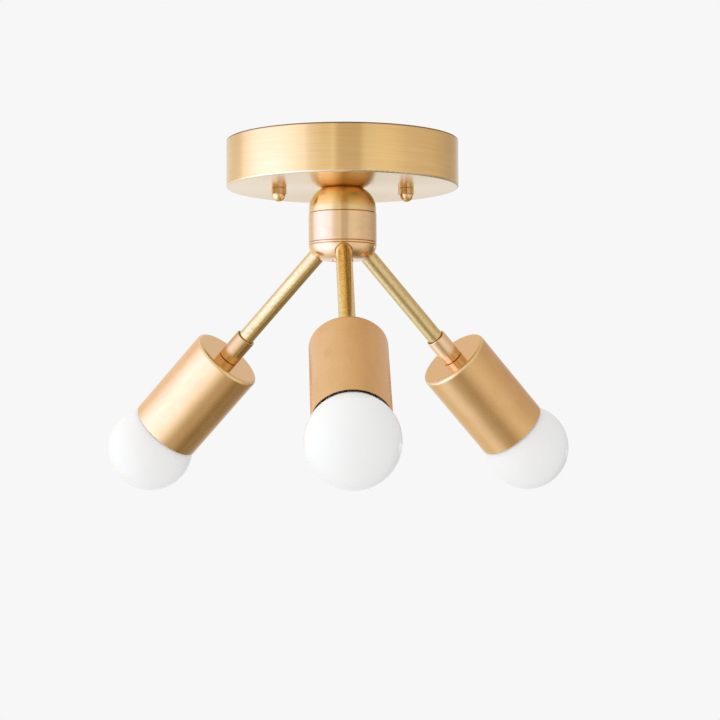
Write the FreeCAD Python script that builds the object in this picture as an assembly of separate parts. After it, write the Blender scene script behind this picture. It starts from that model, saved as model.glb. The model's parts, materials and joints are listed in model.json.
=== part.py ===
import FreeCAD, Part
import math
import os

from FreeCAD import Vector

# Three-arm brass ceiling light with round opal bulbs.
# Millimetres. Z is up, the ceiling plane is z = 0 and the light hangs below it on the Z axis.
# One arm points along -Y; the canopy screws lie on the X axis.

# Canopy: a spun brass pan, open towards the ceiling.
CANOPY_D = 127.0
CANOPY_H = 26.0
CANOPY_WALL = 0.9
CANOPY_INNER_R = 0.2
CANOPY_RIM_CHAMFER = 0.25

# Crossbar that the outlet box holds, and the two studs that hang the canopy from it.
BAR_LENGTH = 110.0
BAR_WIDTH = 20.0
BAR_T = 2.0
BAR_EDGE_CHAMFER = 0.3
BOX_SCREW_SPACING = 88.9
BOX_SLOT_LENGTH = 9.0
BOX_SLOT_WIDTH = 4.8
BAR_CENTRE_HOLE_D = 10.4
STUD_SPACING = 69.85
STUD_D = 4.17
STUD_HOLE_PLAY = 0.25
STUD_TOP_DROP = 0.3
STUD_NUT_AF = 8.7
STUD_NUT_T = 3.2
GROUND_SCREW_X = 18.0
GROUND_SCREW_D = 4.8
GROUND_HEAD_AF = 8.0
GROUND_HEAD_T = 2.6
GROUND_FLANGE_D = 10.5
GROUND_FLANGE_T = 0.8
GROUND_SLOT_W = 1.2
GROUND_SLOT_DEPTH = 1.0

# Knurled cap nuts under the canopy.
CAP_COLLAR_D = 8.4
CAP_COLLAR_H = 3.4
CAP_COLLAR_BEVEL = 0.3
CAP_KNURLS = 36
CAP_KNURL_DEPTH = 0.3
CAP_DOME_D = 7.3
CAP_DOME_LAND = 0.4
CAP_BORE_DEPTH = 5.2
CAP_STUD_GAP = 0.4

# Threaded lamp pipe, used for the arms and all nipples, and its nuts.
PIPE_D = 9.0
PIPE_BORE = 6.6
PIPE_NUT_AF = 14.3
NUT_BEVEL_ANGLE = 30.0
THREAD_PLAY = 0.05

# Hub: a turned cap, a plain ring and an arm body, spigoted into each other.
HUB_D = 37.2
HUB_TOP_D = 22.1
HUB_CAP_STEP = 0.2
HUB_CAP_H = 14.0
HUB_CAP_ARC_R = 13.0
HUB_CAP_ROOF = 3.5
HUB_RING_H = 16.0
HUB_RING_WALL = 2.5
HUB_BODY_H = 9.7
HUB_BODY_ARC_R = 8.8
HUB_BODY_FLOOR = 4.0
HUB_SPIGOT_H = 4.0
HUB_SPIGOT_WALL = 2.1
HUB_SPIGOT_PLAY = 0.1
HUB_EDGE_CHAMFER = 0.35
HUB_BEAD_H = 1.0
HUB_BEAD_GROOVE = 0.35
HUB_NUT_T = 3.5
HUB_NIPPLE_BELOW_NUT = 2.0
PLUG_HEAD_D = 11.6
PLUG_HEAD_T = 0.6
PLUG_SHANK_D = 9.0
PLUG_SLOT_W = 1.4
PLUG_SLOT_DEPTH = 0.4

# Stack that clamps the hub nipple to the canopy floor.
WASHER_D = 20.0
WASHER_T = 1.0
CANOPY_NUT_T = 4.0
NIPPLE_ABOVE_NUT = 1.3
BUSHING_FLANGE_D = 10.6
BUSHING_FLANGE_T = 1.2
BUSHING_SLEEVE_H = 6.0
BUSHING_BORE = 5.3

# Arms: angle from straight down, how far each axis passes above the centre of the hub's rounded
# corner, and the lengths inside and outside the hub.
ARM_COUNT = 3
ARM_TILT = 46.0
ARM_CORNER_OFFSET = 0.57
ARM_SUNK = 10.45
ARM_FREE_LENGTH = 62.25
ARM_MOUTH_PLAY = 0.4
ARM_MOUTH_DEPTH = 1.0

# Couplings between the arms and the socket cups.
COUPLING_D = 11.6
COUPLING_L = 16.0
COUPLING_GRIP = 7.5
COUPLING_CHAMFER = 0.4
COUPLING_LEAD_IN = 0.6

# Socket cups.
CUP_D = 40.8
CUP_WALL = 0.8
CUP_TOP_T = 1.0
CUP_INNER_R = 1.2
CUP_MOUTH_BEVEL = 0.6
CUP_NUT_T = 3.2

# Lampholder: an insulating body with a screw shell and a springy centre contact.
HOLDER_D = 34.0
HOLDER_COLLAR_D = 17.0
HOLDER_COLLAR_GAP = 0.4
HOLDER_COLLAR_L = 8.4
HOLDER_COLLAR_FLOOR = 1.2
HOLDER_DISC_T = 4.2
HOLDER_SKIRT_SHORT = 0.6
HOLDER_EDGE_R = 1.2
HOLDER_FIT = 0.1
SHELL_BORE_D = 26.4
SHELL_WALL = 0.4
SHELL_FLANGE_HOLE_D = 18.0
SHELL_SHORT = 3.0
CONTACT_H = 2.8
CONTACT_T = 0.5
CONTACT_W = 6.0
CONTACT_HALF_L = 6.0
CONTACT_TIP_GAP = 0.15

# Bulb: screw base and opal globe.
BASE_D = 25.8
BASE_WALL = 0.35
BASE_LENGTH = 24.5
BASE_TIP_D = 9.2
BASE_TIP_H = 1.2
BASE_INSULATOR_H = 4.6
BASE_INSULATOR_TOP_D = 22.8
NECK_PLAY = 0.1
NECK_STRAIGHT = 0.3
NECK_SUNK = 4.0
GLOBE_D = 48.3
GLOBE_WALL = 0.9
GLOBE_FLARE_ANGLE = 40.0
GLOBE_CUP_GAP = 1.0
BOARD_T = 1.2
BOARD_EDGE_GAP = 0.5
BOARD_POST_D = 8.0
BOARD_DIODE_SIZE = 2.6
BOARD_DIODE_T = 0.8
BOARD_DIODE_COUNT = 6
BOARD_DIODE_CIRCLE_D = 15.0

# Wiring.
WIRE_D = 2.3
WIRE_PITCH = 2.6
WIRE_PLAY = 0.1
WIRE_IN_HOLDER = 3.0
SPLICE_D = 18.0
SPLICE_TOP_DROP = 5.0
SPLICE_PLUG_GAP = 1.5
SPLICE_ARM_GAP = 2.0
SPLICE_WIRE_DEPTH = 4.0
LEAD_RISE = 0.3
LEAD_STRAIGHT = 2.4
CONNECTOR_GROUND_GAP = 1.1
CONNECTOR_L = 18.0
CONNECTOR_MOUTH_D = 10.0
CONNECTOR_TIP_D = 6.4
CONNECTOR_SKIRT_L = 4.0
CONNECTOR_TIP_R = 1.5
CONNECTOR_GRIP = 9.0
CONNECTOR_FLUTES = 10
CONNECTOR_FLUTE_R = 0.6

# Levels on the Z axis that follow from those sizes.
canopy_floor_z = -CANOPY_H + CANOPY_WALL
hub_seam_1_z = -CANOPY_H - HUB_CAP_H
hub_seam_2_z = hub_seam_1_z - HUB_RING_H
hub_bottom_z = hub_seam_2_z - HUB_BODY_H
hub_roof_z = -CANOPY_H - HUB_CAP_ROOF
hub_nut_bottom_z = hub_roof_z - HUB_NUT_T
nipple_bottom_z = hub_nut_bottom_z - HUB_NIPPLE_BELOW_NUT
washer_top_z = canopy_floor_z + WASHER_T
canopy_nut_top_z = washer_top_z + CANOPY_NUT_T
nipple_top_z = canopy_nut_top_z + NIPPLE_ABOVE_NUT
bushing_top_z = nipple_top_z + BUSHING_FLANGE_T
splice_top_z = hub_seam_1_z - SPLICE_TOP_DROP

# The leads: high enough for the connectors to lie just under the ground screw, which sets their bend.
ground_head_z = -BAR_T - GROUND_FLANGE_T - GROUND_HEAD_T
lead_z = ground_head_z - CONNECTOR_GROUND_GAP - CONNECTOR_MOUTH_D / 2
lead_bend_r = lead_z - bushing_top_z - LEAD_RISE
connector_start_x = WIRE_PITCH / 2 + lead_bend_r + LEAD_STRAIGHT

# The hub's rounded lower corner, and the point on the Z axis where the arms' axes meet.
arm_tilt = math.radians(ARM_TILT)
corner_r = HUB_D / 2 - HUB_BODY_ARC_R
corner_z = hub_bottom_z + HUB_BODY_ARC_R
axis_r = corner_r + ARM_CORNER_OFFSET * math.cos(arm_tilt)
axis_z = corner_z + ARM_CORNER_OFFSET * math.sin(arm_tilt)
apex_z = axis_z + axis_r / math.tan(arm_tilt)

# Distances along an arm that follow from those sizes, from the arm axes' meeting point.
hub_mouth_s = axis_r / math.sin(arm_tilt) + math.sqrt(HUB_BODY_ARC_R ** 2 - ARM_CORNER_OFFSET ** 2)
arm_inner_s = hub_mouth_s - ARM_SUNK
coupling_s = hub_mouth_s + ARM_FREE_LENGTH
arm_outer_s = coupling_s + COUPLING_GRIP
cup_top_s = coupling_s + COUPLING_L
cup_nut_s = cup_top_s + CUP_TOP_T
collar_s = cup_nut_s + CUP_NUT_T + HOLDER_COLLAR_GAP
disc_s = collar_s + HOLDER_COLLAR_L
seat_s = disc_s + HOLDER_DISC_T
nipple_outer_s = disc_s - HOLDER_COLLAR_FLOOR
tip_s = seat_s + CONTACT_H + CONTACT_TIP_GAP
base_rim_s = tip_s + BASE_LENGTH
flare_s = base_rim_s + NECK_STRAIGHT
neck_r = BASE_D / 2 - BASE_WALL - NECK_PLAY
globe_r = GLOBE_D / 2
flare_angle = math.radians(GLOBE_FLARE_ANGLE)
flare_r = (globe_r * math.sin(flare_angle) - neck_r) / (1 - math.cos(flare_angle))
globe_s = flare_s + flare_r * math.sin(flare_angle) + globe_r * math.cos(flare_angle)
cup_bore_r = CUP_D / 2 - CUP_WALL
cup_mouth_s = globe_s + CUP_MOUTH_BEVEL - math.sqrt((globe_r + GLOBE_CUP_GAP) ** 2 - cup_bore_r ** 2)
shell_outer_r = SHELL_BORE_D / 2 + SHELL_WALL
arm_names = ["front", "right", "left"]


def spin(start, *steps):
    """Solid of revolution about Z. Points are (radius, height); a step of (point, centre) is an arc."""
    edges = []
    here = Vector(start[0], 0, start[1])
    first = here
    for step in steps + (start,):
        if isinstance(step[0], tuple):
            there = Vector(step[0][0], 0, step[0][1])
            centre = Vector(step[1][0], 0, step[1][1])
            radius = (here - centre).Length
            middle = (here - centre).normalize() + (there - centre).normalize()
            edges.append(Part.Arc(here, centre + middle.normalize() * radius, there).toShape())
        else:
            there = Vector(step[0], 0, step[1])
            if (there - here).Length > 1e-7:
                edges.append(Part.LineSegment(here, there).toShape())
        here = there
    assert (here - first).Length < 1e-7
    return Part.Face(Part.Wire(edges)).revolve(Vector(0, 0, 0), Vector(0, 0, 1), 360)


def rod(diameter, low, high, x=0.0, y=0.0):
    return Part.makeCylinder(diameter / 2, high - low, Vector(x, y, low))


def tube(diameter, bore, low, high):
    return rod(diameter, low, high).cut(rod(bore, low, high))


def hexagon(across_flats, low, high, x=0.0):
    """A nut blank with its flats turned towards X and its corners bevelled at both ends."""
    flat = across_flats / 2
    corner = hex_corner(across_flats)
    drop = (corner - flat) * math.tan(math.radians(NUT_BEVEL_ANGLE))
    turns = [math.radians(30 + 60 * i) for i in range(7)]
    points = [Vector(corner * math.cos(t), corner * math.sin(t), low) for t in turns]
    prism = Part.Face(Part.makePolygon(points)).extrude(Vector(0, 0, high - low))
    bevelled = spin(
        (0, low),
        (flat, low),
        (corner, low + drop),
        (corner, high - drop),
        (flat, high),
        (0, high),
    )
    blank = prism.common(bevelled)
    blank.translate(Vector(x, 0, 0))
    return blank


def hex_corner(across_flats):
    return across_flats / 2 / math.cos(math.radians(30))


def pipe_nut(low, high):
    return hexagon(PIPE_NUT_AF, low, high).cut(rod(PIPE_D + 2 * THREAD_PLAY, low, high))


def on_arm(shape, index):
    """Moves a shape built along +Z from the arms' meeting point to an arm's place."""
    turn = math.radians(-90 + 360 / ARM_COUNT * index)
    outward = math.sin(arm_tilt)
    axis = Vector(math.cos(turn) * outward, math.sin(turn) * outward, -math.cos(arm_tilt))
    across = Vector(-math.sin(turn), math.cos(turn), 0)
    rotation = FreeCAD.Rotation(across, Vector(), axis, "ZXY")
    moved = shape.copy()
    moved.Placement = FreeCAD.Placement(Vector(0, 0, apex_z), rotation)
    return moved


def save(name, *solids):
    whole = solids[0] if len(solids) == 1 else Part.makeCompound(list(solids))
    whole.exportStep(os.path.join("parts", name + ".step"))


def make_canopy():
    radius = CANOPY_D / 2
    bend = CANOPY_INNER_R + CANOPY_WALL
    bend_r = radius - bend
    bend_z = -CANOPY_H + bend
    hole = PIPE_D / 2 + THREAD_PLAY
    pan = spin(
        (hole, -CANOPY_H),
        (bend_r, -CANOPY_H),
        ((radius, bend_z), (bend_r, bend_z)),
        (radius, -CANOPY_RIM_CHAMFER),
        (radius - CANOPY_RIM_CHAMFER, 0),
        (radius - CANOPY_WALL, 0),
        (radius - CANOPY_WALL, bend_z),
        ((bend_r, canopy_floor_z), (bend_r, bend_z)),
        (hole, canopy_floor_z),
    )
    for x in stud_places():
        pan = pan.cut(rod(STUD_D + 2 * STUD_HOLE_PLAY, -CANOPY_H, canopy_floor_z, x))
    return pan


def stud_places():
    return [-STUD_SPACING / 2, STUD_SPACING / 2]


def lies_flat(edge):
    return edge.BoundBox.ZLength < BAR_EDGE_CHAMFER


def make_crossbar():
    half = BAR_LENGTH / 2 - BAR_WIDTH / 2
    bar = Part.makeBox(2 * half, BAR_WIDTH, BAR_T, Vector(-half, -BAR_WIDTH / 2, -BAR_T))
    for side in (-1, 1):
        bar = bar.fuse(rod(BAR_WIDTH, -BAR_T, 0, side * half))
    bar = bar.removeSplitter()
    bar = bar.makeChamfer(BAR_EDGE_CHAMFER, [edge for edge in bar.Edges if lies_flat(edge)])
    slot_run = BOX_SLOT_LENGTH - BOX_SLOT_WIDTH
    for side in (-1, 1):
        x = side * BOX_SCREW_SPACING / 2
        corner = Vector(x - slot_run / 2, -BOX_SLOT_WIDTH / 2, -BAR_T)
        slot = Part.makeBox(slot_run, BOX_SLOT_WIDTH, BAR_T, corner)
        for end in (-1, 1):
            slot = slot.fuse(rod(BOX_SLOT_WIDTH, -BAR_T, 0, x + end * slot_run / 2))
        bar = bar.cut(slot.removeSplitter())
    bar = bar.cut(rod(BAR_CENTRE_HOLE_D, -BAR_T, 0))
    bar = bar.cut(rod(GROUND_SCREW_D + 2 * THREAD_PLAY, -BAR_T, 0, GROUND_SCREW_X))
    for x in stud_places():
        bar = bar.cut(rod(STUD_D + 2 * THREAD_PLAY, -BAR_T, 0, x))
    return bar


def make_ground_screw():
    flange_z = -BAR_T - GROUND_FLANGE_T
    screw = rod(GROUND_SCREW_D, -BAR_T, -STUD_TOP_DROP, GROUND_SCREW_X)
    screw = screw.fuse(rod(GROUND_FLANGE_D, flange_z, -BAR_T, GROUND_SCREW_X))
    screw = screw.fuse(hexagon(GROUND_HEAD_AF, ground_head_z, flange_z, GROUND_SCREW_X)).removeSplitter()
    corner = Vector(GROUND_SCREW_X - GROUND_HEAD_AF, -GROUND_SLOT_W / 2, ground_head_z)
    return screw.cut(Part.makeBox(2 * GROUND_HEAD_AF, GROUND_SLOT_W, GROUND_SLOT_DEPTH, corner))


def make_studs():
    low = -CANOPY_H - CAP_BORE_DEPTH + CAP_STUD_GAP
    return [rod(STUD_D, low, -STUD_TOP_DROP, x) for x in stud_places()]


def make_stud_nuts():
    nuts = []
    for x in stud_places():
        blank = hexagon(STUD_NUT_AF, -BAR_T - STUD_NUT_T, -BAR_T, x)
        nuts.append(blank.cut(rod(STUD_D + 2 * THREAD_PLAY, -BAR_T - STUD_NUT_T, -BAR_T, x)))
    return nuts


def make_cap_nuts():
    """Straight-knurled collar, bevelled at both ends, and a dome, with a blind thread for the stud."""
    collar_z = -CANOPY_H - CAP_COLLAR_H
    land_z = collar_z - CAP_DOME_LAND
    dome_r = CAP_DOME_D / 2
    crest = CAP_COLLAR_D / 2
    bevel = CAP_COLLAR_BEVEL
    points = []
    for i in range(2 * CAP_KNURLS + 1):
        turn = math.pi * i / CAP_KNURLS
        radius = crest - CAP_KNURL_DEPTH * (i % 2)
        points.append(Vector(radius * math.cos(turn), radius * math.sin(turn), collar_z))
    knurled = Part.Face(Part.makePolygon(points)).extrude(Vector(0, 0, CAP_COLLAR_H))
    bevelled = spin(
        (0, collar_z),
        (crest - bevel, collar_z),
        (crest, collar_z + bevel),
        (crest, -CANOPY_H - bevel),
        (crest - bevel, -CANOPY_H),
        (0, -CANOPY_H),
    )
    collar = knurled.common(bevelled)
    dome = spin(
        (0, collar_z),
        (dome_r, collar_z),
        (dome_r, land_z),
        ((0, land_z - dome_r), (0, land_z)),
    )
    nut = collar.fuse(dome).removeSplitter()
    nut = nut.cut(rod(STUD_D + 2 * THREAD_PLAY, -CANOPY_H - CAP_BORE_DEPTH, -CANOPY_H))
    nuts = []
    for x in stud_places():
        moved = nut.copy()
        moved.translate(Vector(x, 0, 0))
        nuts.append(moved)
    return nuts


def make_bushing():
    sleeve_d = PIPE_BORE - 2 * THREAD_PLAY
    sleeve = rod(sleeve_d, nipple_top_z - BUSHING_SLEEVE_H, nipple_top_z)
    flange = rod(BUSHING_FLANGE_D, nipple_top_z, bushing_top_z)
    return sleeve.fuse(flange).cut(rod(BUSHING_BORE, nipple_top_z - BUSHING_SLEEVE_H, bushing_top_z))


def spigot_radii():
    outer = HUB_D / 2 - HUB_RING_WALL - HUB_SPIGOT_PLAY
    return outer - HUB_SPIGOT_WALL, outer


def make_hub_cap():
    """Domed cap: flat seat against the canopy, round shoulder, and a spigot down into the ring."""
    radius = HUB_D / 2 - HUB_CAP_STEP
    inner, outer = spigot_radii()
    top_r = HUB_TOP_D / 2
    arc_r = radius - HUB_CAP_ARC_R
    arc_z = -CANOPY_H - math.sqrt(HUB_CAP_ARC_R ** 2 - (top_r - arc_r) ** 2)
    hole = PIPE_D / 2 + THREAD_PLAY
    roof_r = hex_corner(PIPE_NUT_AF) + THREAD_PLAY
    spigot_z = hub_seam_1_z - HUB_SPIGOT_H
    return spin(
        (hole, -CANOPY_H),
        (top_r, -CANOPY_H),
        ((radius, arc_z), (arc_r, arc_z)),
        (radius, hub_seam_1_z + HUB_EDGE_CHAMFER),
        (radius - HUB_EDGE_CHAMFER, hub_seam_1_z),
        (outer, hub_seam_1_z),
        (outer, spigot_z),
        (inner, spigot_z),
        (inner, hub_nut_bottom_z),
        (roof_r, hub_roof_z),
        (hole, hub_roof_z),
    )


def make_hub_ring():
    """Plain ring, drilled with the body so that the arms clear its lower inside edge."""
    radius = HUB_D / 2
    bore = radius - HUB_RING_WALL
    ring = spin(
        (bore, hub_seam_1_z),
        (radius - HUB_EDGE_CHAMFER, hub_seam_1_z),
        (radius, hub_seam_1_z - HUB_EDGE_CHAMFER),
        (radius, hub_seam_2_z + HUB_BEAD_GROOVE),
        (radius - HUB_BEAD_GROOVE, hub_seam_2_z),
        (bore, hub_seam_2_z),
    )
    return drill_for_arms(ring)


def make_hub_body():
    """Bowl with a spigot up into the ring, a fine bead under the seam and three slanted arm holes."""
    radius = HUB_D / 2
    inner, outer = spigot_radii()
    bead_z = hub_seam_2_z - HUB_BEAD_H
    floor_z = hub_bottom_z + HUB_BODY_FLOOR
    groove = HUB_BEAD_GROOVE
    groove_r = radius - groove
    below = bead_z - 2 * groove
    start_turn = math.asin((below - corner_z) / HUB_BODY_ARC_R)
    start_r = corner_r + HUB_BODY_ARC_R * math.cos(start_turn)
    hole = PLUG_SHANK_D / 2 + THREAD_PLAY
    slope_r = hole + THREAD_PLAY + HUB_SPIGOT_WALL
    bowl = spin(
        (hole, hub_bottom_z),
        (corner_r, hub_bottom_z),
        ((start_r, below), (corner_r, corner_z)),
        (groove_r, bead_z - groove),
        (radius, bead_z),
        (radius, hub_seam_2_z - groove),
        (groove_r, hub_seam_2_z),
        (outer, hub_seam_2_z),
        (outer, hub_seam_2_z + HUB_SPIGOT_H),
        (inner, hub_seam_2_z + HUB_SPIGOT_H),
        (inner, hub_seam_2_z),
        (slope_r, floor_z),
        (hole, floor_z),
    )
    bowl = drill_for_arms(bowl)
    mouth = rod(PIPE_D + 2 * ARM_MOUTH_PLAY, hub_mouth_s - ARM_MOUTH_DEPTH, hub_mouth_s + PIPE_D)
    for index in range(ARM_COUNT):
        bowl = bowl.cut(on_arm(mouth, index))
    return bowl


def drill_for_arms(shape):
    hole = rod(PIPE_D + 2 * THREAD_PLAY, 0, hub_mouth_s + PIPE_D)
    for index in range(ARM_COUNT):
        shape = shape.cut(on_arm(hole, index))
    return shape


def make_hub_plug():
    head_z = hub_bottom_z - PLUG_HEAD_T
    plug = rod(PLUG_SHANK_D, hub_bottom_z, hub_bottom_z + HUB_BODY_FLOOR)
    plug = plug.fuse(rod(PLUG_HEAD_D, head_z, hub_bottom_z))
    corner = Vector(-PLUG_HEAD_D, -PLUG_SLOT_W / 2, head_z)
    return plug.cut(Part.makeBox(2 * PLUG_HEAD_D, PLUG_SLOT_W, PLUG_SLOT_DEPTH, corner))


def make_coupling():
    radius = COUPLING_D / 2
    bore = PIPE_D / 2 + THREAD_PLAY
    return spin(
        (bore + COUPLING_LEAD_IN, coupling_s),
        (radius - COUPLING_CHAMFER / 2, coupling_s),
        (radius, coupling_s + COUPLING_CHAMFER / 2),
        (radius, cup_top_s - COUPLING_CHAMFER),
        (radius - COUPLING_CHAMFER, cup_top_s),
        (bore, cup_top_s),
        (bore, coupling_s + COUPLING_LEAD_IN),
    )


def make_cup():
    """Deep drawn cup: flat top with a round edge, plain wall, and a bevel inside the mouth."""
    radius = CUP_D / 2
    edge = CUP_INNER_R + CUP_WALL
    hole = PIPE_D / 2 + THREAD_PLAY
    inner_top = cup_top_s + CUP_TOP_T
    return spin(
        (hole, cup_top_s),
        (radius - edge, cup_top_s),
        ((radius, cup_top_s + edge), (radius - edge, cup_top_s + edge)),
        (radius, cup_mouth_s),
        (cup_bore_r + CUP_MOUTH_BEVEL, cup_mouth_s),
        (cup_bore_r, cup_mouth_s - CUP_MOUTH_BEVEL),
        (cup_bore_r, inner_top + CUP_INNER_R),
        ((cup_bore_r - CUP_INNER_R, inner_top), (cup_bore_r - CUP_INNER_R, inner_top + CUP_INNER_R)),
        (hole, inner_top),
    )


def wire_places():
    return [-WIRE_PITCH / 2, WIRE_PITCH / 2]


def make_holder():
    """Insulating body: threaded collar, thick disc and a skirt round the screw shell."""
    radius = HOLDER_D / 2
    skirt_bore = shell_outer_r + HOLDER_FIT
    skirt_s = base_rim_s - HOLDER_SKIRT_SHORT
    bore = PIPE_D / 2 + THREAD_PLAY
    collar = HOLDER_COLLAR_D / 2
    body = spin(
        (0, nipple_outer_s),
        (bore, nipple_outer_s),
        (bore, collar_s),
        (collar, collar_s),
        (collar, disc_s),
        (radius - HOLDER_EDGE_R, disc_s),
        ((radius, disc_s + HOLDER_EDGE_R), (radius - HOLDER_EDGE_R, disc_s + HOLDER_EDGE_R)),
        (radius, skirt_s - HOLDER_EDGE_R),
        ((radius - HOLDER_EDGE_R, skirt_s), (radius - HOLDER_EDGE_R, skirt_s - HOLDER_EDGE_R)),
        (skirt_bore, skirt_s),
        (skirt_bore, seat_s),
        (0, seat_s),
    )
    for x in wire_places():
        hole = rod(WIRE_D + 2 * WIRE_PLAY, nipple_outer_s, nipple_outer_s + WIRE_IN_HOLDER + WIRE_PLAY, x)
        body = body.cut(hole)
    return body


def make_shell():
    inner = SHELL_BORE_D / 2
    rim_s = base_rim_s - SHELL_SHORT
    return spin(
        (SHELL_FLANGE_HOLE_D / 2, seat_s),
        (shell_outer_r, seat_s),
        (shell_outer_r, rim_s),
        (inner, rim_s),
        (inner, seat_s + SHELL_WALL),
        (SHELL_FLANGE_HOLE_D / 2, seat_s + SHELL_WALL),
    )


def make_contact():
    """Bent leaf: a flat foot on the seat, a ramp, and a flat that the bulb's tip presses."""
    top = seat_s + CONTACT_H
    half = CONTACT_HALF_L
    outline = [
        (-half, seat_s),
        (-half / 3, seat_s),
        (half / 3, top - CONTACT_T),
        (half, top - CONTACT_T),
        (half, top),
        (half / 3 - CONTACT_T / 2, top),
        (-half / 3 - CONTACT_T / 2, seat_s + CONTACT_T),
        (-half, seat_s + CONTACT_T),
    ]
    points = [Vector(x, -CONTACT_W / 2, s) for x, s in outline + outline[:1]]
    return Part.Face(Part.makePolygon(points)).extrude(Vector(0, CONTACT_W, 0))


def make_bulb_contact():
    """Solder button on the end of the bulb's base."""
    button_r = BASE_TIP_D / 2
    crown = BASE_TIP_H / 2
    return spin(
        (0, tip_s),
        (button_r - crown, tip_s),
        ((button_r, tip_s + crown), (button_r - crown, tip_s + crown)),
        (button_r, tip_s + BASE_TIP_H),
        (0, tip_s + BASE_TIP_H),
    )


def make_bulb_insulator():
    """Cone of insulation between the button and the screw base."""
    low = tip_s + BASE_TIP_H
    high = low + BASE_INSULATOR_H
    return spin((0, low), (BASE_TIP_D / 2, low), (BASE_INSULATOR_TOP_D / 2, high), (0, high))


def make_bulb_base():
    outer = BASE_D / 2
    inner = outer - BASE_WALL
    low = tip_s + BASE_TIP_H + BASE_INSULATOR_H
    hem = BASE_INSULATOR_TOP_D / 2 - BASE_WALL
    return spin(
        (hem, low),
        (BASE_INSULATOR_TOP_D / 2, low),
        (outer, low + outer - BASE_INSULATOR_TOP_D / 2),
        (outer, base_rim_s),
        (inner, base_rim_s),
        (inner, low + outer - BASE_INSULATOR_TOP_D / 2 + BASE_WALL),
        (hem, low + BASE_WALL),
    )


def make_globe():
    """Hollow globe whose neck flares out of the screw base."""
    sunk_s = base_rim_s - NECK_SUNK
    sine = math.sin(flare_angle)
    cosine = math.cos(flare_angle)
    flare_centre = (neck_r + flare_r, flare_s)
    join = (globe_r * sine, globe_s - globe_r * cosine)
    inner_globe = globe_r - GLOBE_WALL
    inner_join = (inner_globe * sine, globe_s - inner_globe * cosine)
    globe_centre = (0, globe_s)
    return spin(
        (neck_r - GLOBE_WALL, sunk_s),
        (neck_r, sunk_s),
        (neck_r, flare_s),
        (join, flare_centre),
        ((globe_r, globe_s), globe_centre),
        ((0, globe_s + globe_r), globe_centre),
        (0, globe_s + inner_globe),
        ((inner_globe, globe_s), globe_centre),
        (inner_join, globe_centre),
        ((neck_r - GLOBE_WALL, flare_s), flare_centre),
    )


def make_board():
    """Round light board in the bulb's neck, on a post that stands in the base."""
    radius = neck_r - GLOBE_WALL - BOARD_EDGE_GAP
    low = tip_s + BASE_TIP_H + BASE_INSULATOR_H
    board = rod(BOARD_POST_D, low, base_rim_s).fuse(rod(2 * radius, base_rim_s, base_rim_s + BOARD_T))
    top = base_rim_s + BOARD_T
    half = BOARD_DIODE_SIZE / 2
    for i in range(BOARD_DIODE_COUNT):
        turn = 2 * math.pi * i / BOARD_DIODE_COUNT
        x = BOARD_DIODE_CIRCLE_D / 2 * math.cos(turn)
        y = BOARD_DIODE_CIRCLE_D / 2 * math.sin(turn)
        corner = Vector(x - half, y - half, top)
        board = board.fuse(Part.makeBox(BOARD_DIODE_SIZE, BOARD_DIODE_SIZE, BOARD_DIODE_T, corner))
    return board.removeSplitter()


def splice_wire_s():
    """Where the arm wires end inside the splice block, along the arm."""
    return arm_inner_s - SPLICE_ARM_GAP - SPLICE_WIRE_DEPTH


def make_arm_wires():
    high = nipple_outer_s + WIRE_IN_HOLDER
    return [rod(WIRE_D, splice_wire_s(), high, x) for x in wire_places()]


def make_splice_block():
    """Insulating block that joins the arm wires to the supply leads; its cone faces the arms squarely
    and is cut off flat above the plug."""
    face_s = arm_inner_s - SPLICE_ARM_GAP
    face_r = face_s * math.sin(arm_tilt)
    face_z = apex_z - face_s * math.cos(arm_tilt)
    radius = SPLICE_D / 2
    cone_tip_z = face_z - face_r * math.tan(arm_tilt)
    side_z = cone_tip_z + radius * math.tan(arm_tilt)
    flat_z = hub_bottom_z + HUB_BODY_FLOOR + SPLICE_PLUG_GAP
    block = spin((0, cone_tip_z), (radius, side_z), (radius, splice_top_z), (0, splice_top_z))
    block = block.common(rod(SPLICE_D, flat_z, splice_top_z))
    for index in range(ARM_COUNT):
        for x in wire_places():
            hole = rod(WIRE_D + 2 * WIRE_PLAY, splice_wire_s() - WIRE_PLAY, arm_inner_s, x)
            block = block.cut(on_arm(hole, index))
    for x in wire_places():
        low = splice_top_z - SPLICE_WIRE_DEPTH - WIRE_PLAY
        block = block.cut(rod(WIRE_D + 2 * WIRE_PLAY, low, splice_top_z, x))
    return block


def make_supply_leads():
    """Two leads: up from the splice block through the nipple, then out sideways into the connectors."""
    leads = []
    start_z = splice_top_z - SPLICE_WIRE_DEPTH
    bend_z = lead_z - lead_bend_r
    lean = lead_bend_r * math.sin(math.radians(45))
    for x in wire_places():
        side = math.copysign(1, x)
        foot = Vector(x, 0, start_z)
        bend_low = Vector(x, 0, bend_z)
        bend_middle = Vector(x + side * (lead_bend_r - lean), 0, bend_z + lean)
        bend_high = Vector(x + side * lead_bend_r, 0, lead_z)
        end = Vector(side * (connector_start_x + CONNECTOR_GRIP), 0, lead_z)
        path = Part.Wire([
            Part.LineSegment(foot, bend_low).toShape(),
            Part.Arc(bend_low, bend_middle, bend_high).toShape(),
            Part.LineSegment(bend_high, end).toShape(),
        ])
        section = Part.Wire(Part.makeCircle(WIRE_D / 2, foot, Vector(0, 0, 1)))
        leads.append(path.makePipeShell([section], True, False))
    return leads


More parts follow.
